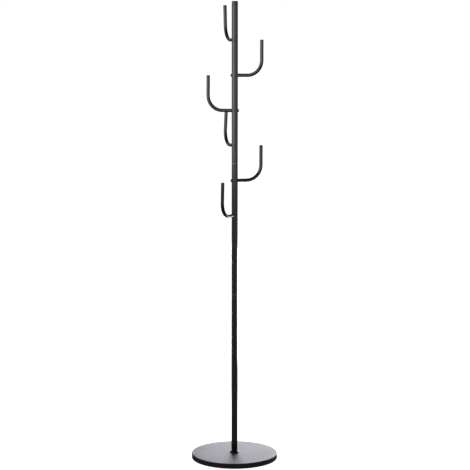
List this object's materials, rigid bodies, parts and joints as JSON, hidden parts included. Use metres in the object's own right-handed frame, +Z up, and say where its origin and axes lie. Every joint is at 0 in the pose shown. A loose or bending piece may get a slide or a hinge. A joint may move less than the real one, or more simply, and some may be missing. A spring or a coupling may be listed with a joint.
{
  "type": "coat rack",
  "caption": "Free-standing metal coat rack: a slim round pole on a flat disc base, with bent tube arms that leave the pole at different heights and turn upwards.",
  "frame": {"origin": "on the floor, at the centre of the base, under the axis of the pole", "axes": "+Z up along the pole; -Y is the front, so +X is to the right of a person who faces the rack"},
  "size_m": [0.32, 0.32, 1.7],
  "materials": {
    "pole_paint": "fine powder coat, semi-gloss black",
    "base_paint": "smooth powder coat, semi-gloss black",
    "joint_rings": "satin dark grey",
    "trim_plastic": "satin moulded black",
    "black_screws": "black oxide",
    "zinc_steel": "bright zinc plated",
    "concrete": "cast, rough",
    "plate_plastic": "grained black",
    "pad_rubber": "matt"
  },
  "bodies": {
    "root": {"arm_1": "pole_paint", "arm_2": "pole_paint", "arm_3": "pole_paint", "arm_4": "pole_paint", "arm_5": "pole_paint", "arm_6": "pole_paint", "arm_insert_1": "zinc_steel", "arm_insert_2": "zinc_steel", "arm_insert_3": "zinc_steel", "arm_insert_4": "zinc_steel", "arm_insert_5": "zinc_steel", "arm_insert_6": "zinc_steel", "arm_screws": "black_screws", "arm_tip_1": "trim_plastic", "arm_tip_2": "trim_plastic", "arm_tip_3": "trim_plastic", "arm_tip_4": "trim_plastic", "arm_tip_5": "trim_plastic", "arm_tip_6": "trim_plastic", "base_bolt": "zinc_steel", "base_cover": "base_paint", "base_plate": "plate_plastic", "base_washer": "zinc_steel", "base_weight": "concrete", "foot_collar": "trim_plastic", "foot_insert": "zinc_steel", "foot_pads": "pad_rubber", "lower_joint_insert_above": "zinc_steel", "lower_joint_insert_below": "zinc_steel", "lower_joint_ring": "joint_rings", "lower_joint_stud": "zinc_steel", "lower_pole": "pole_paint", "middle_pole": "pole_paint", "saddle_washers": "trim_plastic", "top_cap": "trim_plastic", "upper_joint_insert_above": "zinc_steel", "upper_joint_insert_below": "zinc_steel", "upper_joint_ring": "joint_rings", "upper_joint_stud": "zinc_steel", "upper_pole": "pole_paint"}
  },
  "joints": []
}
